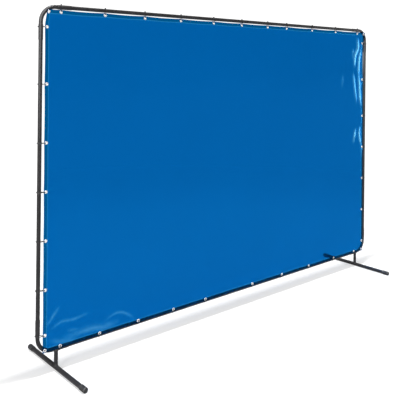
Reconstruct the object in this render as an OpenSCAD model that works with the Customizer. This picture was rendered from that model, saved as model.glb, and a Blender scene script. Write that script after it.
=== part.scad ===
// Free-standing curtain screen: a tube frame on two cross feet, with a
// tinted vinyl curtain tied to it all round through grommets.
// X runs along the width, -Y is the front, Z is up. The origin is on the
// floor under the middle of the frame. All sizes are in millimetres.

/* [Frame] */
// Distance between the centre lines of the two posts
frame_w = 2980; // [2800:10:3200]
// Distance between the centre lines of the top and bottom rails
frame_h = 1860; // [1700:10:2000]
// Height of the bottom rail's centre line above the floor
rail_z = 116; // [110:1:140]
// Outer diameter of the posts, rails and legs
tube_od = 22.2; // [21.8:0.1:22.6]
// Wall thickness of the tubes
tube_wall = 1.2; // [1:0.1:1.4]
// Height of the slip joint in each post above the bottom rail
post_joint_h = 845; // [700:5:1100]
// Length of the reduced spigot inside a slip joint
spigot_l = 70; // [50:5:90]
// Radial clearance of every slip fit
fit = 0.05; // [0.03:0.01:0.08]

/* [Corner pieces] */
// Bend radius of a corner piece on its centre line
bend_r = 85; // [75:1:88]
// Length of each arm, from the crossing of the centre lines to its end
corner_arm = 180; // [175:1:190]
// Outer diameter of the expanded sockets at the arm ends
socket_od = 25.1; // [25:0.1:25.4]
// How far a straight tube goes into a socket
insert_l = 80; // [70:1:82]

/* [Legs and feet] */
// Distance of each leg from the centre line of its post
leg_x = 110; // [108:1:112]
// Length of a leg below the bottom rail's centre line
leg_drop = 66; // [60:1:68]
// Gap between the leg's shoulder and the foot's socket
leg_gap = 6; // [4:1:8]
// Overall length of a foot with its end caps
foot_len = 640; // [500:10:800]
// Outer diameter of the foot tube
foot_od = 25.4; // [25:0.1:26]
// Outer diameter of a foot's end cap
cap_od = 30; // [29:0.5:32]
// Length of a foot's end cap
cap_len = 48; // [40:1:60]
// Depth of the flat tread along the underside of a cap
cap_tread = 0.4; // [0.3:0.1:0.6]

/* [Curtain] */
// Thickness of the vinyl
vinyl_t = 0.5; // [0.4:0.1:0.6]
// Width of the folded hem
hem_w = 25; // [22:1:30]
// Gap from a post's centre line to the side edge of the curtain
side_gap = 24; // [22:0.5:32]
// Gap from the top rail's centre line to the top edge
top_gap = 14; // [14:0.5:16]
// Height of the bottom edge above the bottom rail's centre line
bottom_gap = 1; // [0:0.5:2]
// How far in front of the bottom rail's centre line the curtain hangs
bottom_lean = 13.8; // [13.7:0.1:14]
// Angle at which the loose top corners bend forward, clear of the frame
flap_angle = 25; // [22:1:35]

/* [Grommets and ties] */
// Outer diameter of a grommet
grommet_od = 19; // [18:0.5:19.5]
// Diameter of the hole in a grommet
grommet_hole = 9.5; // [9.3:0.1:9.8]
// Distance of the grommets from the edges of the curtain
grommet_in = 12.5; // [12:0.5:13]
// Width of a cable tie's band
tie_w = 3.6; // [3:0.2:4]
// Thickness of a cable tie's band
tie_t = 1.1; // [1:0.1:1.3]

/* [Hidden] */

frame_color = "#3c3c3f";
cap_color = "#1c1c1e";
vinyl_color = "#0063ac";
metal_color = "#e4e4e0";
tie_color = "#161616";

half_w = frame_w / 2;
top_z = rail_z + frame_h;

// Tube radii: plain tube, expanded socket and reduced spigot
tube_r = tube_od / 2;
tube_ri = tube_r - tube_wall;
socket_r = socket_od / 2;
socket_ri = tube_r + fit;
spigot_r = tube_ri - fit;
spigot_ri = spigot_r - tube_wall;
cone_l = 3;
socket_z = corner_arm - insert_l - 1;

// Feet: the caps rest on the floor, so they set the height of the axis
foot_z = cap_od / 2 - cap_tread;
foot_r = foot_od / 2;
foot_wall = 1.2;
shoulder_z = rail_z - leg_drop;
stub_top_z = shoulder_z - leg_gap;
spigot_end_z = foot_z - 5.5;
stub_floor_z = spigot_end_z - 0.3;
cap_end = 3;
cap_round = 3;

// Curtain plane: from under the top rail to the front of the bottom rail
sheet_w = frame_w - 2 * side_gap;
sheet_h = frame_h - top_gap - bottom_gap;
sheet_z0 = rail_z + bottom_gap;
lean = atan2(bottom_lean, sheet_h);
hem_t = 2 * vinyl_t;
hole_r = grommet_hole / 2 + 0.65;

// Grommet stations. Each row is punched from both ends, in runs of one pitch.
edge_x = half_w - side_gap - grommet_in;
row_top_z = top_z - top_gap - grommet_in;
row_bottom_z = sheet_z0 + grommet_in;
function run(first, pitch, count) = [for (i = [0 : count - 1]) first + i * pitch];
top_x = concat(
    run(119 - half_w, 281, 5), run(half_w - 1473, 262, 2), run(half_w - 1003, 298, 4)
);
bottom_x = concat(
    [127 - half_w], run(377 - half_w, 269, 4), run(half_w - 1354, 311, 4), [half_w - 144]
);
left_z = concat([rail_z + 94], run(rail_z + 337, 263, 4), run(top_z - 418, 308, 2));
right_z = concat(run(rail_z + 85, 264, 4), run(top_z - 720, 307, 3));
function side_z(side) = side < 0 ? left_z : right_z;

// Fold of a loose top corner: where it meets the side and the top edge
fold_down = 74;
fold_in = 75;

// Front-to-back place of the curtain's middle plane at a height
function sheet_y(z) = -(top_z - top_gap - z) * tan(lean);

// ---- Frame tubes ------------------------------------------------------

// Half section of a straight arm of a corner piece, along +Z from the bend
module arm_profile(start) {
    outer = [
        [tube_r, start], [tube_r, socket_z - cone_l], [socket_r, socket_z],
        [socket_r, corner_arm]
    ];
    inner = [
        [socket_ri, corner_arm], [socket_ri, socket_z],
        [tube_ri, socket_z - cone_l], [tube_ri, start]
    ];
    polygon(concat(outer, inner));
}

module arm() {
    rotate_extrude($fn = 96) arm_profile(bend_r);
}

// Bent tube with two expanded sockets, its arms along +X and +Z
module corner_piece() {
    translate([bend_r, 0, bend_r])
        rotate([90, 0, 0])
            rotate([0, 0, 180])
                rotate_extrude(angle = 90, $fn = 192)
                    translate([bend_r, 0])
                        difference() {
                            circle(r = tube_r, $fn = 96);
                            circle(r = tube_ri, $fn = 96);
                        }
    arm();
    rotate([0, 90, 0]) arm();
}

// Leg under a bottom corner, reduced at its lower end to a spigot
module leg() {
    outer = [
        [tube_r, 0], [tube_r, shoulder_z - rail_z + 1],
        [spigot_r + 0.2, shoulder_z - rail_z], [spigot_r, shoulder_z - rail_z],
        [spigot_r, spigot_end_z - rail_z]
    ];
    inner = [[spigot_ri, spigot_end_z - rail_z], [spigot_ri, 0]];
    translate([leg_x, 0, 0])
        rotate_extrude($fn = 96)
            polygon(concat(outer, inner));
}

// Bottom corner with its leg welded on under the socket
module footed_corner() {
    corner_piece();
    difference() {
        leg();
        rotate([0, 90, 0]) cylinder(r = socket_r - 0.6, h = corner_arm + 40, $fn = 96);
    }
}

// Straight tube along +Z with plain ends
module plain_tube(length) {
    difference() {
        cylinder(r = tube_r, h = length, $fn = 96);
        translate([0, 0, -1]) cylinder(r = tube_ri, h = length + 2, $fn = 96);
    }
}

// Straight tube along +Z with a reduced spigot beyond its upper end
module spigot_tube(length) {
    outer = [
        [tube_r, 0], [tube_r, length - 0.6], [spigot_r, length],
        [spigot_r, length + spigot_l]
    ];
    inner = [
        [spigot_ri, length + spigot_l], [spigot_ri, length - 2],
        [tube_ri, length - 3.2], [tube_ri, 0]
    ];
    rotate_extrude($fn = 96) polygon(concat(outer, inner));
}

tube_end = corner_arm - insert_l;
joint_gap = 0.4;
post_lower_l = post_joint_h - tube_end;
post_upper_l = frame_h - post_joint_h - tube_end - joint_gap;
half_rail_l = half_w - tube_end;

module post_lower(side) {
    color(frame_color)
        translate([side * half_w, 0, rail_z + tube_end])
            spigot_tube(post_lower_l);
}

module post_upper(side) {
    color(frame_color)
        translate([side * half_w, 0, rail_z + post_joint_h + joint_gap])
            plain_tube(post_upper_l);
}

module rail_left(z) {
    color(frame_color)
        translate([-half_rail_l, 0, z])
            rotate([0, 90, 0])
                spigot_tube(half_rail_l);
}

module rail_right(z) {
    color(frame_color)
        translate([joint_gap, 0, z])
            rotate([0, 90, 0])
                plain_tube(half_rail_l - joint_gap);
}

module corner_top_left() {
    color(frame_color)
        translate([-half_w, 0, top_z]) mirror([0, 0, 1]) corner_piece();
}

module corner_top_right() {
    color(frame_color)
        translate([half_w, 0, top_z]) mirror([1, 0, 0]) mirror([0, 0, 1]) corner_piece();
}

module corner_bottom_left() {
    color(frame_color)
        translate([-half_w, 0, rail_z]) footed_corner();
}

module corner_bottom_right() {
    color(frame_color)
        translate([half_w, 0, rail_z]) mirror([1, 0, 0]) footed_corner();
}

// ---- Feet -------------------------------------------------------------

// Cross tube with an upright socket for the leg's spigot
module foot_body() {
    tube_l = foot_len - 2 * cap_end - 0.4;
    difference() {
        union() {
            rotate([90, 0, 0]) cylinder(r = foot_r, h = tube_l, center = true, $fn = 96);
            cylinder(r = tube_r, h = stub_top_z - foot_z, $fn = 96);
        }
        difference() {
            rotate([90, 0, 0])
                cylinder(r = foot_r - foot_wall, h = tube_l + 2, center = true, $fn = 96);
            cylinder(r = tube_r, h = 4 * foot_r, center = true, $fn = 96);
        }
        translate([0, 0, stub_floor_z - foot_z])
            cylinder(r = tube_ri, h = stub_top_z, $fn = 96);
    }
}

module foot(side) {
    color(frame_color)
        translate([side * (half_w - leg_x), 0, foot_z]) foot_body();
}

// Cup that slips over the end of a foot tube, its mouth at the origin
module cap_body() {
    cap_r = cap_od / 2;
    wall_x = foot_r + fit;
    depth = cap_len - cap_end;
    difference() {
        rotate_extrude($fn = 96) {
            difference() {
                union() {
                    square([cap_r, cap_len - cap_round]);
                    square([cap_r - cap_round, cap_len]);
                    translate([cap_r - cap_round, cap_len - cap_round])
                        circle(r = cap_round, $fn = 48);
                }
                translate([-2 * cap_r, -cap_r]) square([2 * cap_r, 4 * cap_len]);
                translate([-1, -1]) square([wall_x + 1, depth + 1]);
            }
        }
        translate([-cap_od, -cap_r - cap_od + cap_tread, -cap_len])
            cube([2 * cap_od, cap_od, 3 * cap_len]);
    }
}

// Cap at one end of a foot: toward is -1 for the front and 1 for the back
module foot_cap(side, toward) {
    color(cap_color)
        translate([side * (half_w - leg_x), toward * (foot_len / 2 - cap_len), foot_z])
            mirror([0, toward < 0 ? 0 : 1, 0])
                rotate([90, 0, 0])
                    cap_body();
}

// ---- Curtain ----------------------------------------------------------

// Puts children, drawn in X and Y with their front towards +Z, on the sheet
module on_sheet(x, z) {
    translate([x, sheet_y(z), z]) rotate([90 - lean, 0, 0]) children();
}

// Turns children, drawn flat on the sheet about its right top corner, forward
// about the fold line, for the corner on the given side
module on_flap(side) {
    on_sheet(0, sheet_z0)
        mirror([side < 0 ? 1 : 0, 0, 0])
            translate([sheet_w / 2 - fold_in, sheet_h, 0])
                rotate(a = flap_angle, v = [fold_in, -fold_down, 0])
                    translate([fold_in, 0, 0])
                        children();
}

// Triangle cut from the square corner at the fold, grown over the fold line
module flap_outline(over) {
    polygon([[-fold_in - over, 0], [0, -fold_down - over], [0, 0]]);
}

module sheet_outline(inset) {
    difference() {
        translate([inset - sheet_w / 2, inset])
            square([sheet_w - 2 * inset, sheet_h - 2 * inset]);
        for (side = [-1, 1])
            mirror([side < 0 ? 1 : 0, 0, 0])
                translate([sheet_w / 2, sheet_h]) flap_outline(0);
    }
}

module flap(side) {
    difference() {
        on_flap(side)
            translate([0, 0, -hem_t / 2])
                linear_extrude(hem_t) flap_outline(0.3);
        on_flap(side) punch_here();
    }
}

module curtain() {
    color(vinyl_color) {
        difference() {
            on_sheet(0, sheet_z0) {
                translate([0, 0, -hem_t / 2])
                    linear_extrude(hem_t)
                        difference() {
                            sheet_outline(0);
                            sheet_outline(hem_w);
                        }
                translate([0, 0, -vinyl_t / 2])
                    linear_extrude(vinyl_t)
                        sheet_outline(hem_w / 2);
            }
            for (x = top_x) punch(x, row_top_z);
            for (x = bottom_x) punch(x, row_bottom_z);
            for (side = [-1, 1]) {
                for (z = side_z(side)) punch(side * edge_x, z);
                punch(side * edge_x, row_bottom_z);
            }
        }
        flap(-1);
        flap(1);
    }
}

module punch(x, z) {
    on_sheet(x, z) cylinder(r = hole_r, h = 10, center = true, $fn = 48);
}

module punch_here() {
    translate([-grommet_in, -grommet_in, 0])
        cylinder(r = hole_r, h = 10, center = true, $fn = 48);
}

// Eyelet: a flange in front, a barrel through the hole, rolled over behind
module eyelet() {
    hole = grommet_hole / 2;
    rim = grommet_od / 2;
    face = hem_t / 2 + 0.05;
    back = -hem_t / 2 - 0.05;
    rotate_extrude($fn = 48)
        polygon([
            [hole, back - 0.8], [hole, face + 0.5], [hole + 0.9, face + 0.95],
            [rim - 1.2, face + 0.95], [rim, face + 0.3], [rim, face],
            [hole + 0.5, face], [hole + 0.5, back - 0.75],
            [hole + 1.8, back - 0.75], [hole + 1.4, back - 1.2],
            [hole + 0.5, back - 1.2]
        ]);
}

// Flat washer that the barrel is rolled over, at the back of the hem
module back_washer() {
    back = -hem_t / 2 - 0.05;
    translate([0, 0, back - 0.7])
        difference() {
            cylinder(r = grommet_od / 2, h = 0.7, $fn = 48);
            translate([0, 0, -1]) cylinder(r = hole_r - 0.05, h = 3, $fn = 48);
        }
}

module grommet(x, z) { on_sheet(x, z) eyelet(); }
module washer(x, z) { on_sheet(x, z) back_washer(); }

// Puts children at all four corners, the top two on their bent flaps
module at_corners() {
    for (side = [-1, 1]) {
        on_sheet(side * edge_x, row_bottom_z) children();
        on_flap(side) translate([-grommet_in, -grommet_in, 0]) children();
    }
}

module grommets_top() { color(metal_color) for (x = top_x) grommet(x, row_top_z); }
module grommets_bottom() { color(metal_color) for (x = bottom_x) grommet(x, row_bottom_z); }
module grommets_side(side) { color(metal_color) for (z = side_z(side)) grommet(side * edge_x, z); }
module grommets_corner() { color(metal_color) at_corners() eyelet(); }

module washers_top() { color(metal_color) for (x = top_x) washer(x, row_top_z); }
module washers_bottom() { color(metal_color) for (x = bottom_x) washer(x, row_bottom_z); }
module washers_side(side) { color(metal_color) for (z = side_z(side)) washer(side * edge_x, z); }
module washers_corner() { color(metal_color) at_corners() back_washer(); }

// ---- Cable ties -------------------------------------------------------

tie_gap = 0.3;
tip_r = 2.6;
// The band crosses the sheet this far from the grommet's centre
tie_off = 3.6;

// Points on two circles where a straight run of the band leaves one for the
// other, set a little inside the circles so that they cross
function run_points(a, b) =
    let (
        d = b[0] - a[0],
        e = b[1] - a[1],
        turn = atan2(e, d) - acos((a[2] - b[2]) / norm([d, e])),
        n = [cos(turn), sin(turn)]
    )
    [[a[0], a[1]] + 0.985 * a[2] * n, [b[0], b[1]] + 0.985 * b[2] * n];

// Closed outline around circles given as [x, y, r], in turning order
module belt(rounds) {
    count = len(rounds);
    corners = [
        for (i = [0 : count - 1])
            for (p = run_points(rounds[i], rounds[(i + 1) % count])) p
    ];
    polygon(corners);
    for (c = rounds) translate([c[0], c[1]]) circle(r = c[2], $fn = 64);
}

function grown(rounds, by) = [for (c = rounds) [c[0], c[1], c[2] + by]];

// Band around a tube at the origin and through a grommet, with its locking
// head against the tube at the angle head_at
module tie(rounds, tube, head_at) {
    linear_extrude(tie_w, center = true)
        difference() {
            belt(grown(rounds, tie_t));
            belt(rounds);
        }
    rotate([0, 0, head_at])
        translate([tube + tie_gap + tie_t + 1.7, 0, 0])
            cube([4, 6.4, tie_w + 1.8], center = true);
}

function tie_tube_r(along, reach) = along < reach ? socket_r : tube_r;

// Distance from the nearer corner, where the socket is wider than the tube
function from_end(x, half) = half - abs(x);

module tie_at_top(x) {
    tube = tie_tube_r(from_end(x, half_w), corner_arm);
    drop = top_gap + grommet_in - tie_off - tip_r;
    translate([x, 0, top_z])
        rotate([90, 0, 90])
            tie([[0, 0, tube + tie_gap], [sheet_y(row_top_z), -drop, tip_r]], tube, 90);
}

module tie_at_bottom(x) {
    tube = tie_tube_r(from_end(x, half_w), corner_arm);
    y = sheet_y(row_bottom_z);
    tip = bottom_gap + grommet_in - tie_off - tip_r;
    translate([x, 0, rail_z])
        rotate([90, 0, 90])
            tie([[0, 0, tube + tie_gap], [y, tip, tip_r], [y, bottom_gap, 1.4]], tube, -50);
}

module tie_at_side(side, z) {
    low = z - rail_z;
    end = min(low, frame_h - low);
    tube = end > socket_z && end < corner_arm ? socket_r : tube_r + 0.3;
    reach = side_gap + grommet_in - tie_off - tip_r;
    translate([side * half_w, 0, z])
        mirror([side < 0 ? 0 : 1, 0, 0])
            tie([[0, 0, tube + tie_gap], [reach, sheet_y(z), tip_r]], tube, 125);
}

module ties_top() { color(tie_color) for (x = top_x) tie_at_top(x); }
module ties_bottom() { color(tie_color) for (x = bottom_x) tie_at_bottom(x); }
module ties_side(side) { color(tie_color) for (z = side_z(side)) tie_at_side(side, z); }

// ---- Nodes ------------------------------------------------------------

corner_top_left();
corner_top_right();
corner_bottom_left();
corner_bottom_right();
post_upper(-1);  // post_left_upper
post_lower(-1);  // post_left_lower
post_upper(1);  // post_right_upper
post_lower(1);  // post_right_lower
rail_left(top_z);  // top_rail_left
rail_right(top_z);  // top_rail_right
rail_left(rail_z);  // bottom_rail_left
rail_right(rail_z);  // bottom_rail_right
foot(-1);  // foot_left
foot(1);  // foot_right
foot_cap(-1, -1);  // foot_left_cap_front
foot_cap(-1, 1);  // foot_left_cap_back
foot_cap(1, -1);  // foot_right_cap_front
foot_cap(1, 1);  // foot_right_cap_back
curtain();
grommets_top();
grommets_bottom();
grommets_side(-1);  // grommets_left
grommets_side(1);  // grommets_right
grommets_corner();
washers_top();
washers_bottom();
washers_side(-1);  // washers_left
washers_side(1);  // washers_right
washers_corner();
ties_top();
ties_bottom();
ties_side(-1);  // ties_left
ties_side(1);  // ties_right
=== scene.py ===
"""Looks of the curtain screen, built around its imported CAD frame.

Metres, +X along the width, -Y towards the front, +Z up, as in the frame. Detailed pieces take their places
from the CAD nodes that they stand for. The curtain is one sheet, and everything fixed to it is placed on
its surface.
"""
import math
import random

import bmesh
import bpy
import numpy as np
from mathutils import Matrix, Vector


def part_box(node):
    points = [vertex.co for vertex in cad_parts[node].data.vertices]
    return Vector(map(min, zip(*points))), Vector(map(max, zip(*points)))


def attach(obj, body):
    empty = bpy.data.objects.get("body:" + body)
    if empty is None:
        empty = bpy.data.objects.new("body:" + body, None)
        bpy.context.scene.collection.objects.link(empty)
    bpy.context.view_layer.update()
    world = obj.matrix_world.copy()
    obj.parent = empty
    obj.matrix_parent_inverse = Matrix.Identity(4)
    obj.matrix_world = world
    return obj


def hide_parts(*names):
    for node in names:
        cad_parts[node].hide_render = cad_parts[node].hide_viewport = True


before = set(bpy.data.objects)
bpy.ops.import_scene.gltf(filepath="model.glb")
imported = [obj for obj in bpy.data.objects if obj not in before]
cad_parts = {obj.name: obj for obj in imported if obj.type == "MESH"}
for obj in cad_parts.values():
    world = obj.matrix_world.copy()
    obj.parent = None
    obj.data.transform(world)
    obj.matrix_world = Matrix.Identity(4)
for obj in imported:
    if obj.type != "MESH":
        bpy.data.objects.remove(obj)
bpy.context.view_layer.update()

MM = 0.001


# ---- Measures taken from the frame ----------------------------------------

def centre(node):
    low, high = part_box(node)
    return (low + high) / 2


def loose_parts(node):
    """The vertices of each separate solid in a CAD node, as arrays, from the lowest X and Z up."""
    bm = bmesh.new()
    bm.from_mesh(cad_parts[node].data)
    bmesh.ops.remove_doubles(bm, verts=bm.verts, dist=1e-6)
    seen, parts = set(), []
    for start in bm.verts:
        if start in seen:
            continue
        seen.add(start)
        stack, part = [start], []
        while stack:
            vert = stack.pop()
            part.append(vert.co[:])
            for edge in vert.link_edges:
                other = edge.other_vert(vert)
                if other not in seen:
                    seen.add(other)
                    stack.append(other)
        parts.append(np.array(part))
    bm.free()
    return sorted(parts, key=lambda p: (round(p[:, 0].mean(), 2), p[:, 2].mean()))


def middles(node):
    """The middle of each separate solid in a CAD node."""
    return [Vector((part.min(0) + part.max(0)) / 2) for part in loose_parts(node)]


POST_X = centre("post_right_lower").x
RAIL_Z = centre("bottom_rail_left").z
TOP_Z = centre("top_rail_left").z
LEG_X = centre("foot_right").x
TUBE_R = (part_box("top_rail_right")[1].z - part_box("top_rail_right")[0].z) / 2
SOCKET_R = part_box("corner_top_right")[1].z - TOP_Z
SOCKET_REACH = POST_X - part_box("corner_top_right")[0].x
FOOT_LOW, FOOT_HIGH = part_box("foot_left")
FOOT_R = (FOOT_HIGH.x - FOOT_LOW.x) / 2
FOOT_Z = FOOT_LOW.z + FOOT_R

SHEET_LOW, SHEET_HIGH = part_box("curtain")
SHEET_W = SHEET_HIGH.x - SHEET_LOW.x
SHEET_H = SHEET_HIGH.z - SHEET_LOW.z

TOP_ROW = middles("grommets_top")
BOTTOM_ROW = middles("grommets_bottom")
LEFT_ROW = middles("grommets_left")
RIGHT_ROW = middles("grommets_right")
LEAN = (TOP_ROW[0].y - BOTTOM_ROW[0].y) / (TOP_ROW[0].z - BOTTOM_ROW[0].z)
EDGE_IN = SHEET_HIGH.x - RIGHT_ROW[0].x

VINYL = 0.5 * MM
HEM = 25 * MM
GROMMET_R = 9.5 * MM
HOLE_R = 4.75 * MM
TIE_W = 3.6 * MM
TIE_T = 1.1 * MM
TIE_GAP = 0.3 * MM
TIE_TIP_R = 2.6 * MM
# Where a tie's head sits round its tube, in degrees
HEAD_TURNS = {"top": 90, "bottom": -50, "side": 125}
# Length of the expanded socket at the end of a corner piece's arm
SOCKET_LEN = 81 * MM
# Closest that a turned outline comes to its own axis
AXIS = 0.05 * MM


# ---- Mesh helpers ----------------------------------------------------------

class Mesh:
    """Vertices and faces of one piece, gathered before the object is made."""

    def __init__(self):
        self.verts = []
        self.faces = []

    def add(self, verts, faces, place=None):
        start = len(self.verts)
        if place is not None:
            verts = [place @ Vector(v) for v in verts]
        self.verts += [tuple(v) for v in verts]
        self.faces += [tuple(start + i for i in face) for face in faces]

    def make(self, name, material, body, slot, replaces=(), sharp=40):
        data = bpy.data.meshes.new(name)
        data.from_pydata(self.verts, [], self.faces)
        data.validate()
        bm = bmesh.new()
        bm.from_mesh(data)
        bmesh.ops.recalc_face_normals(bm, faces=bm.faces)
        bm.to_mesh(data)
        bm.free()
        data.materials.append(material)
        data.shade_smooth()
        data.set_sharp_from_angle(angle=math.radians(sharp))
        obj = bpy.data.objects.new(name, data)
        bpy.context.scene.collection.objects.link(obj)
        return settle(obj, body, replaces)


def settle(obj, body, replaces=()):
    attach(obj, body)
    if replaces:
        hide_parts(*replaces)
    return obj


def lathe(profile, segments):
    """A closed ring of (radius, height) points turned about Z."""
    verts, faces = [], []
    count = len(profile)
    for s in range(segments):
        turn = 2 * math.pi * s / segments
        for r, h in profile:
            verts.append((r * math.cos(turn), r * math.sin(turn), h))
    for s in range(segments):
        a, b = s * count, (s + 1) % segments * count
        for i in range(count):
            j = (i + 1) % count
            faces.append((a + i, b + i, b + j, a + j))
    return verts, faces


def sweep(rings, closed):
    """Faces between rings of points that all have the same count, capped if the run is open."""
    verts = [point for ring in rings for point in ring]
    count, total = len(rings[0]), len(rings)
    faces = []
    for k in range(total if closed else total - 1):
        a, b = k * count, (k + 1) % total * count
        for i in range(count):
            j = (i + 1) % count
            faces.append((a + i, a + j, b + j, b + i))
    if not closed:
        faces.append(tuple(range(count)))
        faces.append(tuple(reversed(range((total - 1) * count, total * count))))
    return verts, faces


def rounded_box(size, bevel):
    """A box about the origin with rounded edges."""
    bm = bmesh.new()
    bmesh.ops.create_cube(bm, size=1)
    bmesh.ops.scale(bm, vec=size, verts=bm.verts)
    bmesh.ops.bevel(bm, geom=list(bm.edges), offset=bevel, segments=2, profile=0.6, affect="EDGES")
    verts = [v.co.copy() for v in bm.verts]
    faces = [tuple(v.index for v in f.verts) for f in bm.faces]
    bm.free()
    return verts, faces


# ---- Materials -------------------------------------------------------------

class Shader:
    """A node material with short calls for the nodes used here."""

    def __init__(self, name):
        self.material = bpy.data.materials.new(name)
        self.material.use_nodes = True
        self.tree = self.material.node_tree
        self.tree.nodes.clear()
        self.place = self.node("TexCoord").outputs["Object"]

    def node(self, kind, inputs=None, **settings):
        node = self.tree.nodes.new("ShaderNode" + kind)
        for key, value in settings.items():
            setattr(node, key, value)
        for key, value in (inputs or {}).items():
            self.put(node.inputs[key], value)
        return node

    def put(self, socket, value):
        if isinstance(value, bpy.types.NodeSocket):
            self.tree.links.new(value, socket)
        else:
            socket.default_value = value

    def noise(self, scale, detail=2.0, place=None, roughness=0.5):
        inputs = {"Vector": place or self.place, "Scale": scale, "Detail": detail, "Roughness": roughness}
        return self.node("TexNoise", inputs).outputs["Fac"]

    def stretched(self, scale):
        return self.node("Mapping", {"Vector": self.place, "Scale": scale}).outputs["Vector"]

    def levels(self, value, from_low, from_high, to_low, to_high):
        inputs = {
            "Value": value, "From Min": from_low, "From Max": from_high, "To Min": to_low, "To Max": to_high,
        }
        return self.node("MapRange", inputs).outputs["Result"]

    def blend(self, factor, a, b):
        node = self.node("Mix", data_type="RGBA")
        self.put(node.inputs["Factor"], factor)
        for socket, value in (("A_Color", a), ("B_Color", b)):
            self.put(next(s for s in node.inputs if s.identifier == socket), value)
        return next(s for s in node.outputs if s.identifier == "Result_Color")

    def bump(self, height, strength, distance, normal=None):
        inputs = {"Height": height, "Strength": strength, "Distance": distance}
        if normal is not None:
            inputs["Normal"] = normal
        return self.node("Bump", inputs).outputs["Normal"]

    def math(self, operation, a, b):
        return self.node("Math", {0: a, 1: b}, operation=operation).outputs[0]

    def mix(self, factor, a, b):
        return self.node("MixShader", {0: factor, 1: a, 2: b}).outputs[0]

    def finish(self, surface):
        output = self.node("OutputMaterial")
        self.tree.links.new(surface, output.inputs["Surface"])
        return self.material


def powder_coat():
    """Satin charcoal powder coat: fine orange peel, cloudy tone, a few dull scuffs along the tubes."""
    s = Shader("powder_coat")
    tone = s.blend(
        s.levels(s.noise(7, 4), 0.3, 0.7, 0, 1), (0.021, 0.0202, 0.0215, 1), (0.035, 0.0335, 0.035, 1))
    fleck = s.levels(s.noise(2600, 1), 0.62, 0.72, 0, 0.5)
    tone = s.blend(fleck, tone, (0.075, 0.075, 0.079, 1))
    scuff = s.levels(s.noise(1, 5, s.stretched((26, 26, 140))), 0.60, 0.72, 0, 1)
    rough = s.math("ADD", s.levels(s.noise(30, 3), 0.3, 0.7, 0.27, 0.37), s.math("MULTIPLY", scuff, 0.12))
    peel = s.bump(s.noise(650, 2), 0.22, 0.25 * MM)
    inputs = {"Base Color": tone, "Roughness": rough, "Normal": peel, "Coat Roughness": 0.25,
              "Coat Weight": 0.06, "Specular IOR Level": 0.32, "IOR": 1.5}
    return s.finish(s.node("BsdfPrincipled", inputs).outputs[0])


def cap_plastic():
    """Black moulded plastic with a fine spark texture."""
    s = Shader("cap_plastic")
    tone = s.blend(s.noise(60, 3), (0.012, 0.012, 0.013, 1), (0.028, 0.028, 0.029, 1))
    spark = s.bump(s.noise(1900, 2), 0.35, 0.12 * MM)
    rough = s.levels(s.noise(90, 2), 0.3, 0.7, 0.42, 0.58)
    inputs = {"Base Color": tone, "Roughness": rough, "Normal": spark}
    return s.finish(s.node("BsdfPrincipled", inputs).outputs[0])


def tie_nylon():
    """Black nylon, a little glossier than the caps."""
    s = Shader("tie_nylon")
    tone = s.blend(s.noise(150, 2), (0.010, 0.010, 0.011, 1), (0.022, 0.022, 0.024, 1))
    rough = s.levels(s.noise(420, 2), 0.3, 0.7, 0.30, 0.46)
    inputs = {"Base Color": tone, "Roughness": rough, "Normal": s.bump(s.noise(900, 2), 0.2, 0.1 * MM)}
    return s.finish(s.node("BsdfPrincipled", inputs).outputs[0])


def plated(name, light, dark, rough_low, rough_high):
    """Bright plated metal with the faint marks of stamping."""
    s = Shader(name)
    tone = s.blend(s.levels(s.noise(260, 4), 0.35, 0.7, 0, 1), light, dark)
    rough = s.levels(s.noise(700, 3), 0.3, 0.7, rough_low, rough_high)
    marks = s.bump(s.noise(1500, 3), 0.15, 0.06 * MM)
    inputs = {"Base Color": tone, "Roughness": rough, "Normal": marks, "Metallic": 0.65}
    return s.finish(s.node("BsdfPrincipled", inputs).outputs[0])


def vinyl(name, tint, milk, cloud, emboss=0.0):
    """Tinted see-through vinyl: mostly clear, a little milky, glossy, with a painted highlight along its
    creases.

    tint is what one face lets through, milk the colour that it scatters, and cloud the milky share.
    """
    s = Shader(name)
    # Painted highlight: the crease attribute pales the tint, the milk and the gloss colour along the folds,
    # standing in for the light that the folds catch.
    painted_crease_highlight = s.math("MULTIPLY", s.node("Attribute", attribute_name="painted_crease_highlight").outputs["Fac"],
                    s.levels(s.noise(45, 3), 0.3, 0.7, 0.7, 1.2))
    ripple = s.bump(s.noise(3.1, 2), 0.5, 6 * MM)
    normal = s.bump(s.noise(55, 2), 0.12, 0.5 * MM, ripple)
    if emboss:
        teeth = s.node("TexWave", {"Vector": s.place, "Scale": 110.0, "Distortion": 0.0},
                       bands_direction="DIAGONAL")
        normal = s.bump(teeth.outputs["Fac"], 0.5, emboss, normal)
    clear = s.node("BsdfTransparent", {"Color": s.blend(painted_crease_highlight, tint, (0.46, 0.76, 0.98, 1))}).outputs[0]
    pale = s.blend(painted_crease_highlight, milk, (0.30, 0.70, 0.95, 1))
    front = s.node("BsdfDiffuse", {"Color": pale, "Roughness": 0.5, "Normal": normal}).outputs[0]
    through = s.node("BsdfTranslucent", {"Color": pale, "Normal": normal}).outputs[0]
    share = s.math("ADD", s.levels(s.noise(1.7, 3), 0.3, 0.7, 0.88 * cloud, 1.12 * cloud),
                   s.math("MULTIPLY", painted_crease_highlight, 0.15))
    body = s.mix(share, clear, s.mix(0.5, front, through))
    rough = s.levels(s.noise(24, 3), 0.3, 0.7, 0.09, 0.16)
    glare = s.blend(s.levels(painted_crease_highlight, 0, 0.5, 0, 1), (0.05, 0.46, 1.0, 1), (0.42, 0.92, 1.0, 1))
    shine = s.node("BsdfGlossy", {"Color": glare, "Roughness": rough, "Normal": normal})
    back = s.node("NewGeometry").outputs["Backfacing"]
    grazing = s.node("Fresnel", {"IOR": s.levels(back, 0, 1, 1.5, 1 / 1.5), "Normal": normal}).outputs[0]
    return s.finish(s.mix(grazing, body, shine.outputs[0]))


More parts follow.
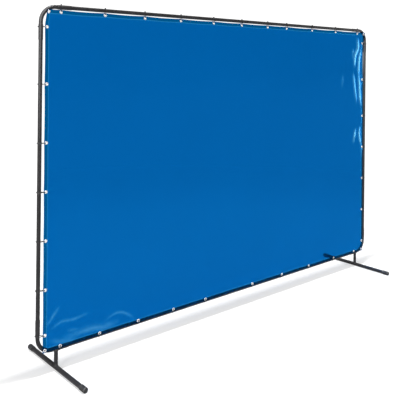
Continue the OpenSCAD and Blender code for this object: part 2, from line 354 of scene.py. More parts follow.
COAT = powder_coat()
CAP = cap_plastic()
NYLON = tie_nylon()
NICKEL = plated("nickel", (0.95, 0.95, 0.94, 1), (0.84, 0.84, 0.83, 1), 0.30, 0.44)
STEEL = plated("washer_steel", (0.72, 0.72, 0.71, 1), (0.56, 0.56, 0.56, 1), 0.28, 0.42)
CLEAR_VINYL = vinyl("vinyl_clear", (0.0, 0.353, 0.643, 1), (0.0, 0.13, 0.46, 1), 0.10)
HEM_VINYL = vinyl("vinyl_hem", (0.0, 0.322, 0.530, 1), (0.0, 0.10, 0.32, 1), 0.14)
SEAM_VINYL = vinyl("vinyl_seam", (0.10, 0.430, 0.680, 1), (0.05, 0.34, 0.62, 1), 0.12, 0.25 * MM)


# ---- Frame tubes -----------------------------------------------------------

FRAME_NODES = [
    "corner_top_left", "corner_top_right", "corner_bottom_left", "corner_bottom_right",
    "post_left_upper", "post_left_lower", "post_right_upper", "post_right_lower",
    "top_rail_left", "top_rail_right", "bottom_rail_left", "bottom_rail_right",
    "foot_left", "foot_right",
]


def coat_frame():
    """The CAD tubes are shown as they are, in powder coat."""
    for node in FRAME_NODES:
        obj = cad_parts[node]
        obj.data.materials.clear()
        obj.data.materials.append(COAT)


def weld_bead(mesh, at, tube_r, host_r, host_axis, up, rng):
    """A rippled fillet where an upright tube meets the side of a round host tube through the point at."""
    steps, sides = 96, 10
    rings = []
    phase = rng.uniform(0, 2 * math.pi)
    for k in range(steps):
        turn = 2 * math.pi * k / steps
        x, y = tube_r * math.cos(turn), tube_r * math.sin(turn)
        across = y if host_axis == "X" else x
        drop = math.sqrt(host_r ** 2 - across ** 2)
        foot = Vector((x, y, up * drop))
        outward = Vector((math.cos(turn), math.sin(turn), 0))
        ripple = 1 + 0.10 * math.sin(22 * turn + phase) + 0.05 * math.sin(3 * turn + 2 * phase)
        width = 2.4 * MM * ripple
        ring = []
        for i in range(sides):
            a = 2 * math.pi * i / sides
            ring.append(at + foot + outward * width * math.cos(a) + Vector((0, 0, up * width * math.sin(a))))
        rings.append(ring)
    mesh.add(*sweep(rings, True))


def make_welds():
    rng = random.Random(11)
    for side, name in ((-1, "left"), (1, "right")):
        leg = Mesh()
        weld_bead(leg, Vector((side * LEG_X, 0, RAIL_Z)), TUBE_R, SOCKET_R, "X", -1, rng)
        leg.make(f"leg_weld_{name}", COAT, "screen", "frame_paint")
        stub = Mesh()
        weld_bead(stub, Vector((side * LEG_X, 0, FOOT_Z)), TUBE_R, FOOT_R, "Y", 1, rng)
        stub.make(f"foot_weld_{name}", COAT, f"{name}_foot", "frame_paint")


def arc(cx, cy, r, start, end, steps):
    """Points on part of a circle, with the angles in degrees."""
    turns = [math.radians(start + (end - start) * i / steps) for i in range(steps + 1)]
    return [(cx + r * math.cos(t), cy + r * math.sin(t)) for t in turns]


def make_caps():
    """Push-on end caps: a rolled lip at the mouth, a slight taper and a rounded nose with a dimple."""
    for name in ("left", "right"):
        for end, toward in (("front", -1), ("back", 1)):
            node = f"foot_{name}_cap_{end}"
            low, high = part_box(node)
            r = (high.x - low.x) / 2
            length = high.y - low.y
            bore = FOOT_R + 0.05 * MM
            nose = 6 * MM
            floor = 3 * MM
            outer = [(bore, 0)] + arc(r - 0.9 * MM, 0.9 * MM, 0.9 * MM, -90, 0, 4)
            outer += [(r, 3.2 * MM), (r - 0.35 * MM, 4.0 * MM), (r - 0.25 * MM, length * 0.5)]
            outer += arc(r - nose, length - nose, nose, 0, 82, 8)
            outer += [(4.2 * MM, length - 0.02 * MM), (3.4 * MM, length - 0.5 * MM), (AXIS, length - 0.6 * MM)]
            depth = length - floor
            inner = [(AXIS, depth), (bore - 0.5 * MM, depth), (bore, depth - 0.6 * MM)]
            verts, faces = lathe(outer + inner, 72)
            base = Vector(((low.x + high.x) / 2, low.y if toward > 0 else high.y, FOOT_Z))
            turned = []
            for x, y, h in verts:
                point = base + Vector((x, toward * h, y))
                point.z = max(point.z, low.z)
                turned.append(point)
            mesh = Mesh()
            mesh.add(turned, faces)
            mesh.make(f"end_cap_{name}_{end}", CAP, f"{name}_foot", "cap_plastic", (node,), sharp=35)


# ---- Curtain surface -------------------------------------------------------

# Creases as paths over the sheet, each with its width, its height and the strength of the painted highlight
# along it.
# On the right a point is (in from the right edge, down from the top edge), and on the left it is
# (in from the left edge, up from the bottom edge).
RIGHT_CREASES = [
    ([(0.091, 0.050), (0.078, 0.130), (0.118, 0.195), (0.128, 0.300)], 16 * MM, 2.9 * MM, 0.75),
    ([(0.152, 0.140), (0.144, 0.235)], 12 * MM, 1.2 * MM, 0.35),
    ([(0.030, 0.140), (0.059, 0.215), (0.068, 0.300), (0.073, 0.355)], 15 * MM, 2.5 * MM, 0.60),
    ([(0.073, 0.345), (0.058, 0.435), (0.050, 0.535), (0.030, 0.620)], 15 * MM, 2.6 * MM, 0.60),
    ([(0.146, 0.340), (0.128, 0.435), (0.094, 0.605)], 14 * MM, 2.1 * MM, 0.45),
    ([(0.288, 0.360), (0.296, 0.460)], 14 * MM, 1.1 * MM, 0.22),
    ([(0.109, 0.810), (0.136, 0.930)], 13 * MM, 2.2 * MM, 0.60),
    ([(0.050, 0.795), (0.054, 0.875), (0.028, 0.950)], 12 * MM, 2.2 * MM, 0.60),
    ([(0.026, 0.945), (0.018, 1.060)], 11 * MM, 1.4 * MM, 0.20),
]
LEFT_CREASES = [
    ([(0.021, 0.140), (0.096, 0.230)], 8 * MM, 2.6 * MM, 0.34),
    ([(0.041, 0.112), (0.106, 0.142), (0.186, 0.137), (0.286, 0.150)], 8 * MM, 2.6 * MM, 0.30),
    ([(0.381, 0.075), (0.471, 0.100), (0.546, 0.070), (0.591, 0.036)], 8 * MM, 2.4 * MM, 0.30),
    ([(0.096, 0.042), (0.276, 0.056), (0.376, 0.044), (0.481, 0.046)], 17 * MM, 5.0 * MM, 0.34),
    ([(0.141, 0.084), (0.221, 0.072)], 8 * MM, 1.8 * MM, 0.22),
    ([(0.036, 0.060), (0.116, 0.036), (0.206, 0.032)], 12 * MM, 2.4 * MM, 0.25),
]
FLAP_IN = 75 * MM
FLAP_DOWN = 74 * MM
FLAP_TURN = math.radians(25)
# How far the folds drawn in by a tie, and the slack between ties, reach into the sheet
PULL_REACH = 0.055
SLACK_REACH = 0.11
# Spacing of the ties at which an edge draws in by its full slack
FULL_SLACK_PITCH = 0.28
# How far in from the edges the creases reach, where the mesh has to be fine
CREASED_LEFT = 0.62
CREASED_RIGHT = 0.32
SHARP_RIGHT = 0.16
CREASED_LOW = 0.27
CREASED_HIGH = 1.10
# Material slots of the sheet, and the width of the pressed seam inside the hem
CLEAR, HEMMED, SEAM = range(3)
SEAM_W = 6.2 * MM


def smooth_path(points, steps=10):
    """Points along a Catmull-Rom curve through the given ones."""
    pts = [np.array(p, float) for p in points]
    pts = [2 * pts[0] - pts[1]] + pts + [2 * pts[-1] - pts[-2]]
    path = []
    for a, b, c, d in zip(pts, pts[1:], pts[2:], pts[3:]):
        for i in range(steps):
            t = i / steps
            path.append(0.5 * (2 * b + (c - a) * t + (2 * a - 5 * b + 4 * c - d) * t ** 2
                               + (3 * b - a - 3 * c + d) * t ** 3))
    path.append(pts[-2])
    return np.array(path)


def ridge(u, v, points, width):
    """How strongly a crease shows at each place: 1 on its line, less to the sides and towards its ends."""
    path = smooth_path(points)
    count = len(path) - 1
    strongest = np.zeros_like(u)
    for k in range(count):
        ax, ay = path[k]
        bx, by = path[k + 1]
        length2 = (bx - ax) ** 2 + (by - ay) ** 2
        t = np.clip(((u - ax) * (bx - ax) + (v - ay) * (by - ay)) / length2, 0, 1)
        away = np.hypot(u - ax - t * (bx - ax), v - ay - t * (by - ay))
        along = (k + t) / count
        fade = np.clip(4.5 * along * (1 - along), 0, 1) ** 0.8
        strongest = np.maximum(strongest, fade * np.exp(-(away / width) ** 2))
    return strongest


def smoothstep(value, low, high):
    t = np.clip((value - low) / (high - low), 0, 1)
    return t * t * (3 - 2 * t)


def slack(along, stations, depth):
    """How far an edge draws in between the places where it is tied."""
    drawn = np.zeros_like(along)
    for a, b in zip(stations, stations[1:]):
        t = np.clip((along - a) / (b - a), 0, 1)
        drawn = np.maximum(drawn, depth * 4 * t * (1 - t) * min(1.2, (b - a) / FULL_SLACK_PITCH) ** 1.5)
    return drawn


def to_sheet(point):
    """Place on the flat sheet, from its left bottom corner, of a point in the frame."""
    return point.x - SHEET_LOW.x, point.z - SHEET_LOW.z


TOP_U = [to_sheet(p)[0] for p in TOP_ROW]
BOTTOM_U = [to_sheet(p)[0] for p in BOTTOM_ROW]
LEFT_V = [to_sheet(p)[1] for p in LEFT_ROW]
RIGHT_V = [to_sheet(p)[1] for p in RIGHT_ROW]
TIED = (
    [(u, SHEET_H - EDGE_IN) for u in TOP_U] + [(u, EDGE_IN) for u in BOTTOM_U]
    + [(EDGE_IN, v) for v in LEFT_V] + [(SHEET_W - EDGE_IN, v) for v in RIGHT_V]
)
CORNERS = [(u, v) for u in (EDGE_IN, SHEET_W - EDGE_IN) for v in (EDGE_IN, SHEET_H - EDGE_IN)]


def creases(u, v):
    """Height of all the creases, and the strength of the painted highlight along them, at places on the flat
    sheet.
    """
    # mark holds the painted highlight that the vinyl shows along each crease
    height, mark = np.zeros_like(u), np.zeros_like(u)
    for points, width, high, painted_highlight in RIGHT_CREASES:
        here = ridge(SHEET_W - u, SHEET_H - v, points, width)
        height += high * here
        mark = np.maximum(mark, painted_highlight * here)
    for points, width, high, painted_highlight in LEFT_CREASES:
        here = ridge(u, v, points, width)
        height += high * here
        mark = np.maximum(mark, painted_highlight * here)
    return height, mark


def pulls(u, v):
    """Small radial folds that the ties draw into the vinyl around their grommets."""
    height = np.zeros_like(u)
    rng = random.Random(5)
    for cu, cv in TIED:
        far = np.hypot(u - cu, v - cv)
        turn = np.arctan2(v - cv, u - cu)
        folds, phase = rng.choice((5, 6, 7)), rng.uniform(0, 2 * math.pi)
        size = rng.uniform(0.5, 1.0) * MM
        size = size * smoothstep(far, 11 * MM, 26 * MM) * np.exp(-far / PULL_REACH)
        height += size * np.cos(folds * turn + phase)
    return height


def billow(u, v):
    """Slow waves over the whole sheet, which die out towards its tied edges."""
    edge = np.minimum(np.minimum(u, SHEET_W - u), np.minimum(v, SHEET_H - v))
    wave = 1.4 * np.sin(2.1 * u + 1.3 * v + 0.4) + 0.9 * np.sin(5.3 * u - 3.1 * v)
    wave = wave + 0.6 * np.sin(2.7 * v + 1.0)
    return wave * 1.6 * MM * smoothstep(edge, 20 * MM, 350 * MM)


def flap_bend(u, v, xyz):
    """Turns the loose top corners forward about the line where they fold."""
    for side in (-1, 1):
        edge_u = 0.0 if side < 0 else SHEET_W
        inward = np.abs(u - edge_u)
        down = SHEET_H - v
        span = math.hypot(FLAP_IN, FLAP_DOWN)
        past = (FLAP_IN * FLAP_DOWN - FLAP_DOWN * inward - FLAP_IN * down) / span
        soft = 9 * MM
        past = soft * np.logaddexp(0, past / soft)
        past = np.where(past < 0.02 * MM, 0, past)
        outward = np.array([side * FLAP_DOWN / span, 0, FLAP_IN / span])
        shift = (math.cos(FLAP_TURN) - 1) * outward + math.sin(FLAP_TURN) * np.array([0, -1, 0])
        xyz += past[..., None] * shift
    return xyz


def surface(u, v):
    """Points of the hung curtain's middle layer for places on the flat sheet."""
    u, v = np.asarray(u, float), np.asarray(v, float)
    x = SHEET_LOW.x + u
    z = SHEET_LOW.z + v
    y = BOTTOM_ROW[0].y + LEAN * (z - BOTTOM_ROW[0].z)
    fold = SHEET_H - FLAP_DOWN * 0.5
    x = x + slack(v, [0.0, *LEFT_V, fold], 1.4 * MM) * np.exp(-u / SLACK_REACH)
    x = x - slack(v, [0.0, *RIGHT_V, fold], 1.4 * MM) * np.exp(-(SHEET_W - u) / SLACK_REACH)
    loose = FLAP_IN * 0.4
    z = z - slack(u, [loose, *TOP_U, SHEET_W - loose], 3.4 * MM) * np.exp(-(SHEET_H - v) / SLACK_REACH)
    z = z + slack(u, [EDGE_IN, *BOTTOM_U, SHEET_W - EDGE_IN], 2.0 * MM) * np.exp(-v / SLACK_REACH)
    forward = billow(u, v) + pulls(u, v) + creases(u, v)[0]
    xyz = np.stack([x, y - forward, z], axis=-1)
    return flap_bend(u, v, xyz)


def on_surface(u, v):
    """Where a piece fixed to the sheet goes: its local +Z points out of the sheet's front."""
    step = 4 * MM
    p = [Vector(surface(u + a * step, v + b * step)) for a, b in ((0, 0), (1, 0), (-1, 0), (0, 1), (0, -1))]
    right = (p[1] - p[2]).normalized()
    front = right.cross((p[3] - p[4]).normalized()).normalized()
    up = front.cross(right)
    place = Matrix((right, up, front)).transposed().to_4x4()
    place.translation = p[0]
    return place


def grid_lines(length, marks, gap):
    """Places from 0 to length that take in all the marks, with gaps no wider than gap(place)."""
    kept = []
    for mark in sorted([0.0, length, *marks]):
        if not kept or mark - kept[-1] > 1.2 * MM:
            kept.append(mark)
    kept[-1] = length
    lines = [kept[0]]
    for a, b in zip(kept, kept[1:]):
        count = max(1, math.ceil((b - a) / gap((a + b) / 2)))
        lines += [a + (b - a) * i / count for i in range(1, count + 1)]
    return np.array(lines)


def edge_marks(length):
    """Lines that the hem and its seam need along both edges."""
    steps = [EDGE_IN - 5 * MM, EDGE_IN, EDGE_IN + 5 * MM, HEM - 6 * MM, HEM - 0.8 * MM, HEM]
    return steps + [length - step for step in steps]


def column_gap(u):
    if u > SHEET_W - SHARP_RIGHT:
        return 3.6 * MM
    if u > SHEET_W - CREASED_RIGHT:
        return 9 * MM
    return 8 * MM if u < CREASED_LEFT else 36 * MM


def row_gap(v):
    if v < CREASED_LOW:
        return 5.5 * MM
    return 15 * MM if v > SHEET_H - CREASED_HIGH else 34 * MM


def make_curtain():
    """One closed sheet: clear vinyl with a folded hem, a pressed seam line and a hole for every grommet."""
    marks_u = [u + d for u in TOP_U + BOTTOM_U for d in (-5 * MM, 0, 5 * MM)]
    marks_u += edge_marks(SHEET_W) + [CREASED_LEFT, SHEET_W - CREASED_RIGHT, SHEET_W - SHARP_RIGHT]
    lines_u = grid_lines(SHEET_W, marks_u, column_gap)
    marks_v = [v + d for v in LEFT_V + RIGHT_V for d in (-5 * MM, 0, 5 * MM)]
    marks_v += edge_marks(SHEET_H) + [CREASED_LOW, SHEET_H - CREASED_HIGH]
    lines_v = grid_lines(SHEET_H, marks_v, row_gap)
    u, v = np.meshgrid(lines_u, lines_v, indexing="ij")
    nu, nv = u.shape

    # Round each grommet hole: the corners of a small block of cells go onto a circle.
    open_cells = np.zeros((nu - 1, nv - 1), bool)
    hole_rims = []
    radius = HOLE_R + 0.65 * MM
    for cu, cv in TIED + CORNERS:
        i0, i1 = np.searchsorted(lines_u, cu - 3.4 * MM) - 1, np.searchsorted(lines_u, cu + 3.4 * MM)
        j0, j1 = np.searchsorted(lines_v, cv - 3.4 * MM) - 1, np.searchsorted(lines_v, cv + 3.4 * MM)
        open_cells[i0:i1, j0:j1] = True
        rim = [(i, j0) for i in range(i0, i1)] + [(i1, j) for j in range(j0, j1)]
        rim += [(i, j1) for i in range(i1, i0, -1)] + [(i0, j) for j in range(j1, j0, -1)]
        for i, j in rim:
            du, dv = lines_u[i] - cu, lines_v[j] - cv
            scale = radius / math.hypot(du, dv)
            u[i, j], v[i, j] = cu + du * scale, cv + dv * scale
        hole_rims.append(rim)

    xyz = surface(u, v)
    normal = np.cross(np.gradient(xyz, axis=0), np.gradient(xyz, axis=1))
    normal /= np.linalg.norm(normal, axis=-1, keepdims=True)
    from_side = np.minimum(u, SHEET_W - u)
    from_end = np.minimum(v, SHEET_H - v)
    edge = np.minimum(from_side, from_end)
    hem = smoothstep(HEM + 0.1 * MM - edge, 0, 0.8 * MM)
    lapped = smoothstep(HEM + 0.1 * MM - np.maximum(from_side, from_end), 0, 0.8 * MM)
    seam = hem * smoothstep(edge, HEM - 7.5 * MM, HEM - 5.5 * MM)
    front = VINYL / 2 - 0.12 * MM * seam
    back = VINYL / 2 + VINYL * hem + VINYL * lapped - 0.15 * MM * seam

    outer = xyz + normal * front[..., None]
    inner = xyz - normal * back[..., None]
    rim = [(i, 0) for i in range(nu - 1)] + [(nu - 1, j) for j in range(nv - 1)]
    rim += [(i, nv - 1) for i in range(nu - 1, 0, -1)] + [(0, j) for j in range(nv - 1, 0, -1)]
    middle = []
    for k, (i, j) in enumerate(rim):
        a, b = rim[k - 1], rim[(k + 1) % len(rim)]
        along = xyz[b] - xyz[a]
        out = np.cross(along, normal[i, j])
        out /= np.linalg.norm(out)
        middle.append((outer[i, j] + inner[i, j]) / 2 + out * 0.4 * MM)

    count = nu * nv
    verts = np.concatenate([outer.reshape(-1, 3), inner.reshape(-1, 3), np.array(middle)])
    faces, kinds = [], []

    def index(place):
        return int(place[0] * nv + place[1])

    for i in range(nu - 1):
        for j in range(nv - 1):
            if open_cells[i, j]:
                continue
            depth = edge[i:i + 2, j:j + 2].mean()
            kind = CLEAR if depth > HEM else SEAM if depth > HEM - SEAM_W else HEMMED
            a, b, c, d = index((i, j)), index((i + 1, j)), index((i + 1, j + 1)), index((i, j + 1))
            faces += [(a, b, c, d), (count + d, count + c, count + b, count + a)]
            kinds += [kind, kind]
    total = len(rim)
    for k in range(total):
        n = (k + 1) % total
        a, b = index(rim[k]), index(rim[n])
        faces += [(a, 2 * count + k, 2 * count + n, b), (2 * count + k, count + a, count + b, 2 * count + n)]
        kinds += [HEMMED, HEMMED]
    for ring in hole_rims:
        for a, b in zip(ring, ring[1:] + ring[:1]):
            a, b = index(a), index(b)
            faces.append((a, b, count + b, count + a))
            kinds.append(HEMMED)

    used = np.unique(np.concatenate([np.array(face) for face in faces]))
    renumber = np.full(len(verts), -1)
    renumber[used] = np.arange(len(used))
    # The painted highlight along the creases, stored on the sheet for its vinyl materials
    mark = creases(u, v)[1].ravel()
    marks = np.concatenate([mark, mark, np.zeros(total)])[used]

    data = bpy.data.meshes.new("curtain_sheet")
    data.from_pydata(verts[used].tolist(), [], [tuple(renumber[list(face)].tolist()) for face in faces])
    for material in (CLEAR_VINYL, HEM_VINYL, SEAM_VINYL):
        data.materials.append(material)
    data.polygons.foreach_set("material_index", kinds)
    layer = data.attributes.new("painted_crease_highlight", "FLOAT", "POINT")
    layer.data.foreach_set("value", marks)
    bm = bmesh.new()
    bm.from_mesh(data)
    bmesh.ops.recalc_face_normals(bm, faces=bm.faces)
    bm.to_mesh(data)
    bm.free()
    data.shade_smooth()
    data.set_sharp_from_angle(angle=math.radians(50))
    sheet = bpy.data.objects.new("curtain_sheet", data)
    bpy.context.scene.collection.objects.link(sheet)
    return settle(sheet, "screen", ("curtain",))


# ---- Grommets --------------------------------------------------------------

def eyelet_profile():
    """Section of the eyelet: domed flange in front, barrel, and the lip rolled over the washer."""
    face = VINYL / 2 + 0.03 * MM
    back = -VINYL * 1.5 - 0.03 * MM
    lip = back - 0.7 * MM
    top = arc(HOLE_R + 1.0 * MM, face + 0.15 * MM, 1.0 * MM, 180, 90, 5)
    dome = [(GROMMET_R - 2.2 * MM, face + 1.0 * MM)]
    dome += arc(GROMMET_R - 1.1 * MM, face + 0.05 * MM, 0.95 * MM, 80, 0, 5)
    under = [(GROMMET_R - 0.5 * MM, face), (HOLE_R + 0.5 * MM, face), (HOLE_R + 0.5 * MM, lip)]
    roll = [(HOLE_R + 1.5 * MM, lip - 0.02 * MM)]
    roll += arc(HOLE_R + 1.2 * MM, lip - 0.45 * MM, 0.45 * MM, 30, -90, 4)
    roll += arc(HOLE_R + 0.7 * MM, lip - 0.2 * MM, 0.7 * MM, -90, -180, 4)
    return top + dome + under + roll


def washer_profile():
    back = -VINYL * 1.5 - 0.05 * MM
    outer = GROMMET_R - 0.25 * MM
    inner = HOLE_R + 0.55 * MM
    return [
        (inner, back), (outer, back), (outer + 0.15 * MM, back - 0.25 * MM),
        (outer - 0.1 * MM, back - 0.6 * MM), (outer - 0.6 * MM, back - 0.68 * MM),
        (inner + 0.2 * MM, back - 0.68 * MM), (inner, back - 0.5 * MM),
    ]


def make_grommets():
    rows = {
        "top": [(u, SHEET_H - EDGE_IN) for u in TOP_U],
        "bottom": [(u, EDGE_IN) for u in BOTTOM_U],
        "left": [(EDGE_IN, v) for v in LEFT_V],
        "right": [(SHEET_W - EDGE_IN, v) for v in RIGHT_V],
        "corner": CORNERS,
    }
    made = []
    for row, places in rows.items():
        eyelets, washers = Mesh(), Mesh()
        for u, v in places:
            place = on_surface(u, v)
            eyelets.add(*lathe(eyelet_profile(), 40), place)
            washers.add(*lathe(washer_profile(), 40), place)
        made.append(eyelets.make(f"eyelets_{row}", NICKEL, "screen", "grommet_metal", (f"grommets_{row}",)))
        made.append(washers.make(f"backing_{row}", STEEL, "screen", "grommet_metal", (f"washers_{row}",)))
    return made


# ---- Cable ties ------------------------------------------------------------

def hull(points):
    """Convex hull of points in a plane, in turning order."""
    points = sorted(set(points))

    def half(run):
        chain = []
        for p in run:
            while len(chain) > 1 and ((chain[-1][0] - chain[-2][0]) * (p[1] - chain[-2][1])
                                      - (chain[-1][1] - chain[-2][1]) * (p[0] - chain[-2][0])) <= 1e-12:
                chain.pop()
            chain.append(p)
        return chain[:-1]

    return half(points) + half(points[::-1])


def belt(rounds, by):
    """Line of a band drawn tight round circles given as (x, y, r), at that distance off them."""
    points = []
    for x, y, r in rounds:
        points += [(round(px, 7), round(py, 7)) for px, py in arc(x, y, r + by, 0, 360, 48)]
    corners = hull(points)
    line = []
    for a, b in zip(corners, corners[1:] + corners[:1]):
        steps = max(1, math.ceil(math.dist(a, b) / (2.5 * MM)))
        line += [(a[0] + (b[0] - a[0]) * i / steps, a[1] + (b[1] - a[1]) * i / steps) for i in range(steps)]
    return line


def add_tie(mesh, rounds, head_turn, place, rng):
    """A cable tie: a ribbed band round the tube and through the grommet, its locking head and a cut tail."""
    line = belt(rounds, TIE_T / 2)
    half_t, half_w, edge = TIE_T / 2, TIE_W / 2, 0.25 * MM
    section = [(-half_t, -half_w + edge), (-half_t + edge, -half_w), (half_t - edge, -half_w),
               (half_t, -half_w + edge), (half_t - 0.15 * MM, -half_w + 3 * edge),
               (half_t - 0.15 * MM, half_w - 3 * edge), (half_t, half_w - edge), (half_t - edge, half_w),
               (-half_t + edge, half_w), (-half_t, half_w - edge)]
    rings = []
    count = len(line)
    for k in range(count):
        a, b = line[k - 1], line[(k + 1) % count]
        tx, ty = b[0] - a[0], b[1] - a[1]
        size = math.hypot(tx, ty)
        nx, ny = ty / size, -tx / size
        rings.append([(line[k][0] + nx * s, line[k][1] + ny * s, w) for s, w in section])
    mesh.add(*sweep(rings, True), place)

    tube = rounds[0][2]
    head = place @ Matrix.Rotation(math.radians(head_turn), 4, "Z")
    head = head @ Matrix.Translation((tube + TIE_T + 1.5 * MM, 0, 0))
    mesh.add(*rounded_box((3.9 * MM, 6.2 * MM, TIE_W + 1.7 * MM), 0.55 * MM), head)
    lug = head @ Matrix.Translation((1.7 * MM, -0.6 * MM, 0))
    mesh.add(*rounded_box((1.4 * MM, 3.2 * MM, TIE_W * 0.55), 0.3 * MM), lug)
    length = rng.uniform(2.2, 4.2) * MM
    lift = Matrix.Rotation(math.radians(rng.uniform(-4, 14)), 4, "Z")
    tail = head @ Matrix.Translation((-0.6 * MM, 3.1 * MM, 0)) @ lift @ Matrix.Translation((0, length / 2, 0))
    mesh.add(*rounded_box((TIE_T, length + 1.2 * MM, TIE_W * 0.94), 0.2 * MM), tail)


def make_ties():
    rng = random.Random(3)
    made = []
    grommet_y = TOP_ROW[0].y
    for row, middle_z in (("top", TOP_Z), ("bottom", RAIL_Z)):
        mesh = Mesh()
        node = f"ties_{row}"
        for part in loose_parts(node):
            x = (part[:, 0].min() + part[:, 0].max()) / 2
            tube = (SOCKET_R if POST_X - abs(x) < SOCKET_REACH else TUBE_R) + TIE_GAP
            if row == "top":
                low = part[:, 2].min() - middle_z
                rounds = [(0, 0, tube), (grommet_y, low + TIE_TIP_R + TIE_T, TIE_TIP_R)]
            else:
                y = BOTTOM_ROW[0].y
                high = part[:, 2].max() - middle_z
                rounds = [(0, 0, tube), (y, high - TIE_TIP_R - TIE_T, TIE_TIP_R), (y, 1 * MM, 1.4 * MM)]
            # The band lies in the plane across the rail: local X is back, local Y is up
            place = Matrix(((0, 0, 1, x), (1, 0, 0, 0), (0, 1, 0, middle_z), (0, 0, 0, 1)))
            add_tie(mesh, rounds, HEAD_TURNS[row], place, rng)
        made.append(mesh.make(f"cable_ties_{row}", NYLON, "screen", "tie_nylon", (node,)))
    for name, side in (("left", -1), ("right", 1)):
        mesh = Mesh()
        node = f"ties_{name}"
        for part in loose_parts(node):
            z = (part[:, 2].min() + part[:, 2].max()) / 2
            end = min(z - RAIL_Z, TOP_Z - z)
            in_socket = SOCKET_REACH - SOCKET_LEN < end < SOCKET_REACH
            tube = (SOCKET_R if in_socket else TUBE_R) + TIE_GAP
            reach = POST_X - (part[:, 0] * side).min() - TIE_TIP_R - TIE_T
            y = BOTTOM_ROW[0].y + LEAN * (z - BOTTOM_ROW[0].z)
            rounds = [(0, 0, tube), (reach, y, TIE_TIP_R)]
            # The band lies level: local X is towards the sheet, local Y is back
            place = Matrix(((-side, 0, 0, side * POST_X), (0, 1, 0, 0), (0, 0, -side, z), (0, 0, 0, 1)))
            add_tie(mesh, rounds, HEAD_TURNS["side"], place, rng)
        made.append(mesh.make(f"cable_ties_{name}", NYLON, "screen", "tie_nylon", (node,)))
    return made


# ---- Floor, light and camera -----------------------------------------------

# Strength of the white behind the object, just past full white
WHITE = 1.15
# What the lens sees the floor add of its own, under the object and further out
FLOOR_GLOW = (0.50, 0.60)
GLOW_REACH = 3.5
# The lit floor gives way to plain white between these distances from the object
FLOOR_NEAR = 3.0
FLOOR_FAR = 6.0
FLOOR_HALF = 60.0
# Light that the far floor throws on the object, and the soft light of the room
FAR_LIGHT = 0.35
ROOM_LIGHT = 0.38
# The bright wall that gloss mirrors: where it is, and how its light rises towards its middle
SOFT_FROM = Vector((-0.62, -0.48, 0.62))
WALL_LIGHT = {"From Min": 0.40, "From Max": 0.80, "To Min": 0.10, "To Max": 6.0}

LENS = 55.0
LENS_SHIFT = -0.3358
CAMERA_AT = (-2.980, -3.0234, 1.666)
CAMERA_YAW = math.radians(-40.87)
CAMERA_ROLL = math.radians(0.62)


def make_floor():
    """A plain white floor that runs out of sight and stays evenly bright in the distance."""
    corners = [(x * FLOOR_HALF, y * FLOOR_HALF, 0) for x, y in ((-1, -1), (1, -1), (1, 1), (-1, 1))]
    data = bpy.data.meshes.new("floor")
    data.from_pydata(corners, [], [(0, 1, 2, 3)])
    s = Shader("white_floor")
    near = s.node("BsdfDiffuse", {"Color": (0.6, 0.6, 0.6, 1)}).outputs[0]
    seen = s.node("LightPath").outputs["Is Camera Ray"]
    reach = s.node("VectorMath", {0: s.place}, operation="LENGTH").outputs["Value"]
    lift = s.levels(reach, 0.0, GLOW_REACH, FLOOR_GLOW[0], FLOOR_GLOW[1])
    glow = s.node("Emission", {"Color": (1, 1, 1, 1), "Strength": s.math("MULTIPLY", seen, lift)}).outputs[0]
    near = s.node("AddShader", {0: near, 1: glow}).outputs[0]
    beyond = s.levels(seen, 0, 1, FAR_LIGHT, WHITE)
    far = s.node("Emission", {"Color": (1, 1, 1, 1), "Strength": beyond}).outputs[0]
    away = s.levels(reach, FLOOR_NEAR, FLOOR_FAR, 0, 1)
    data.materials.append(s.finish(s.mix(away, near, far)))
    floor = bpy.data.objects.new("floor", data)
    bpy.context.scene.collection.objects.link(floor)


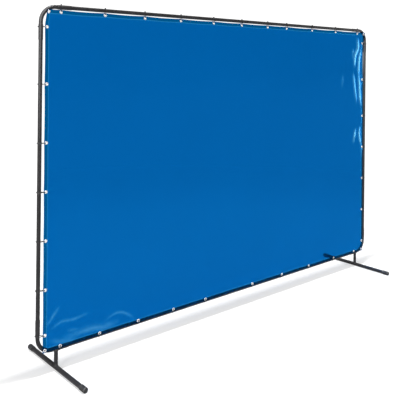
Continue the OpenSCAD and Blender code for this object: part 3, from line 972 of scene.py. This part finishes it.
def make_world():
    """White behind the object, and a softer white light from all sides."""
    world = bpy.data.worlds.new("studio")
    world.use_nodes = True
    tree = world.node_tree
    tree.nodes.clear()
    rays = tree.nodes.new("ShaderNodeLightPath")
    light = tree.nodes.new("ShaderNodeBackground")
    light.inputs["Color"].default_value = (1, 1, 1, 1)
    behind = tree.nodes.new("ShaderNodeBackground")
    behind.inputs["Color"].default_value = (1, 1, 1, 1)
    behind.inputs["Strength"].default_value = WHITE
    mix = tree.nodes.new("ShaderNodeMixShader")
    output = tree.nodes.new("ShaderNodeOutputWorld")
    tree.links.new(rays.outputs["Is Camera Ray"], mix.inputs[0])
    tree.links.new(light.outputs[0], mix.inputs[1])
    tree.links.new(behind.outputs[0], mix.inputs[2])
    tree.links.new(mix.outputs[0], output.inputs["Surface"])

    # Gloss mirrors a bright wall at the front left and a darker room elsewhere
    dot = tree.nodes.new("ShaderNodeVectorMath")
    dot.operation = "DOT_PRODUCT"
    tree.links.new(tree.nodes.new("ShaderNodeTexCoord").outputs["Generated"], dot.inputs[0])
    dot.inputs[1].default_value = SOFT_FROM.normalized()
    wall = tree.nodes.new("ShaderNodeMapRange")
    tree.links.new(dot.outputs["Value"], wall.inputs["Value"])
    for key, value in WALL_LIGHT.items():
        wall.inputs[key].default_value = value
    choose = tree.nodes.new("ShaderNodeMix")
    choose.inputs[2].default_value = ROOM_LIGHT
    tree.links.new(rays.outputs["Is Glossy Ray"], choose.inputs[0])
    tree.links.new(wall.outputs["Result"], choose.inputs[3])
    tree.links.new(choose.outputs[0], light.inputs["Strength"])
    bpy.context.scene.world = world


def soft_light(name, at, toward, width, height, power):
    data = bpy.data.lights.new(name, "AREA")
    data.shape = "RECTANGLE"
    data.size = width
    data.size_y = height
    data.energy = power
    lamp = bpy.data.objects.new(name, data)
    lamp.location = at
    lamp.rotation_mode = "QUATERNION"
    lamp.rotation_quaternion = (Vector(toward) - Vector(at)).to_track_quat("-Z", "Y")
    bpy.context.scene.collection.objects.link(lamp)
    return lamp


def make_lights():
    soft_light("overhead", (0, -0.32, 9.0), (0, 0, 0), 2.2, 0.30, 600)
    soft_light("key", (-4.9, -2.0, 2.4), (-1.49, 0, 1.7), 0.9, 1.8, 50)
    soft_light("side", (8.6, -3.0, 1.7), (1.4, 0, 1.5), 2.0, 3.2, 120)


def make_camera():
    data = bpy.data.cameras.new("camera")
    data.sensor_width = 36.0
    data.lens = LENS
    data.shift_y = LENS_SHIFT
    data.clip_start = 0.1
    data.clip_end = 200.0
    camera = bpy.data.objects.new("camera", data)
    level = Vector((math.cos(CAMERA_YAW), math.sin(CAMERA_YAW), 0))
    ahead = Vector((-math.sin(CAMERA_YAW), math.cos(CAMERA_YAW), 0))
    upright = Vector((0, 0, 1))
    right = math.cos(CAMERA_ROLL) * level + math.sin(CAMERA_ROLL) * upright
    up = math.cos(CAMERA_ROLL) * upright - math.sin(CAMERA_ROLL) * level
    place = Matrix((right, up, -ahead)).transposed().to_4x4()
    place.translation = CAMERA_AT
    camera.matrix_world = place
    bpy.context.scene.collection.objects.link(camera)
    bpy.context.scene.camera = camera


make_camera()
make_world()
make_lights()
make_floor()
bpy.context.scene.view_settings.view_transform = "Standard"

coat_frame()
make_welds()
make_caps()
curtain = make_curtain()
grommets = make_grommets()
ties = make_ties()
